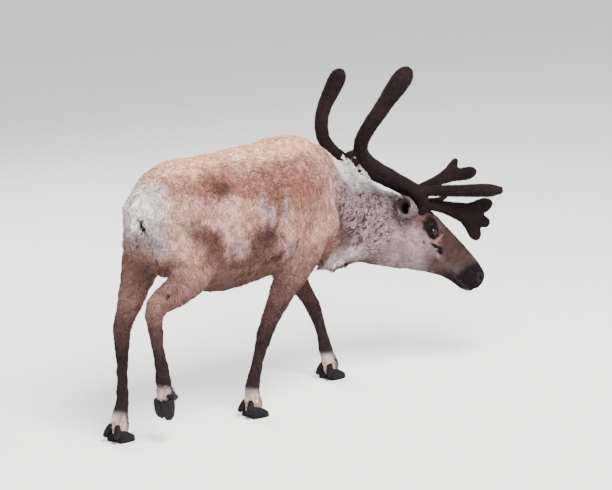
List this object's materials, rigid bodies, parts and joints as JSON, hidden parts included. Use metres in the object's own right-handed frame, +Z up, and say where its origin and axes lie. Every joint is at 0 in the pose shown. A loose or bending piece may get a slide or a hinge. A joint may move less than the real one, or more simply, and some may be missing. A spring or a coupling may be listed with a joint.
{
  "type": "reindeer model",
  "caption": "Life-size still model of a bull reindeer with antlers in velvet, walking with its head low and turned to its right.",
  "frame": {"origin": "centre of the bounding box on the floor under the hooves", "axes": "+Z up, +X the way the animal walks, +Y its left side"},
  "size_m": [1.9654, 0.7774, 1.3729],
  "materials": {
    "coat": "short dense moulting summer hair, matte, tan with pale and brown patches",
    "velvet": "dense matte velvet, dark chocolate with a purple cast",
    "hoof": "dull worn horn, nearly black with a blue cast",
    "eye": "wet and glossy, dark brown"
  },
  "bodies": {
    "root": {"antler_left_base": "velvet", "antler_left_bez": "velvet", "antler_left_brow": "velvet", "antler_left_middle": "velvet", "antler_left_top": "velvet", "antler_right_back_tine": "velvet", "antler_right_base": "velvet", "antler_right_bez": "velvet", "antler_right_middle": "velvet", "antler_right_shovel": "velvet", "antler_right_top": "velvet", "dewclaw_front_left_inner": "hoof", "dewclaw_front_left_outer": "hoof", "dewclaw_front_right_inner": "hoof", "dewclaw_front_right_outer": "hoof", "dewclaw_hind_left_inner": "hoof", "dewclaw_hind_left_outer": "hoof", "dewclaw_hind_right_inner": "hoof", "dewclaw_hind_right_outer": "hoof", "ear_left": "coat", "ear_right": "coat", "eye_left": "eye", "eye_right": "eye", "head": "coat", "hoof_front_left_inner": "hoof", "hoof_front_left_outer": "hoof", "hoof_front_right_inner": "hoof", "hoof_front_right_outer": "hoof", "hoof_hind_left_inner": "hoof", "hoof_hind_left_outer": "hoof", "hoof_hind_right_inner": "hoof", "hoof_hind_right_outer": "hoof", "leg_front_left_cannon": "coat", "leg_front_left_foot": "coat", "leg_front_left_upper": "coat", "leg_front_right_cannon": "coat", "leg_front_right_foot": "coat", "leg_front_right_upper": "coat", "leg_hind_left_cannon": "coat", "leg_hind_left_foot": "coat", "leg_hind_left_upper": "coat", "leg_hind_right_cannon": "coat", "leg_hind_right_foot": "coat", "leg_hind_right_upper": "coat", "neck": "coat", "tail": "coat", "torso": "coat"}
  },
  "joints": []
}
